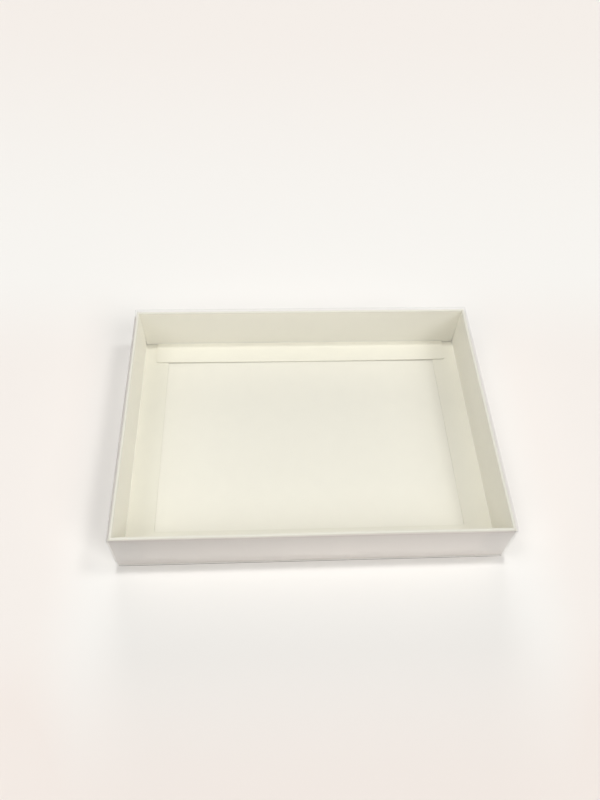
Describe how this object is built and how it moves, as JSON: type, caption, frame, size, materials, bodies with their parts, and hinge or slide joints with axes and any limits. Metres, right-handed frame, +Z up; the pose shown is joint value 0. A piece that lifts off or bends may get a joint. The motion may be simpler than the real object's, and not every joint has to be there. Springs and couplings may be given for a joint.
{
  "type": "clear-lidded card box",
  "caption": "Shallow folded white card tray with rolled double walls and floor flaps, under a clear acetate lid that lifts off.",
  "frame": {"origin": "centre of the underside, on the surface that the box stands on", "axes": "+X to the right along the long side, +Y to the back, +Z up"},
  "size_m": [0.2, 0.15, 0.03],
  "materials": {
    "card_inside": "uncoated white folding card, seen inside the tray",
    "card_outside": "uncoated white folding card, outer walls",
    "card_rim": "uncoated white folding card, folded rim",
    "clear_acetate": "clear glossy acetate sheet, 0.3 mm"
  },
  "bodies": {
    "tray": {"base_panel": "card_inside", "front_outer_wall": "card_outside", "right_outer_wall": "card_outside", "back_outer_wall": "card_outside", "left_outer_wall": "card_outside", "front_rim_strip": "card_rim", "right_rim_strip": "card_rim", "back_rim_strip": "card_rim", "left_rim_strip": "card_rim", "front_inner_wall": "card_inside", "right_inner_wall": "card_inside", "back_inner_wall": "card_inside", "left_inner_wall": "card_inside", "right_floor_flap": "card_inside", "left_floor_flap": "card_inside", "front_left_corner_tab": "card_inside", "front_right_corner_tab": "card_inside", "back_left_corner_tab": "card_inside", "back_right_corner_tab": "card_inside"},
    "front_flap": {"front_floor_flap": "card_inside"},
    "back_flap": {"back_floor_flap": "card_inside"},
    "lid": {"lid_top": "clear_acetate", "lid_front_skirt": "clear_acetate", "lid_right_skirt": "clear_acetate", "lid_back_skirt": "clear_acetate", "lid_left_skirt": "clear_acetate", "lid_front_left_tab": "clear_acetate", "lid_front_right_tab": "clear_acetate", "lid_back_left_tab": "clear_acetate", "lid_back_right_tab": "clear_acetate"}
  },
  "joints": [
    {"name": "lid_lift", "type": "slide", "parent": "tray", "child": "lid", "axis": [0, 0, 1], "range_m": [0, 0.045]},
    {"name": "front_flap_fold", "type": "hinge", "parent": "tray", "child": "front_flap", "pos_m": [0, -0.0714, 0.00185], "axis": [1, 0, 0], "range_deg": [0, 85]},
    {"name": "back_flap_fold", "type": "hinge", "parent": "tray", "child": "back_flap", "pos_m": [0, 0.0714, 0.00185], "axis": [-1, 0, 0], "range_deg": [0, 85]}
  ]
}
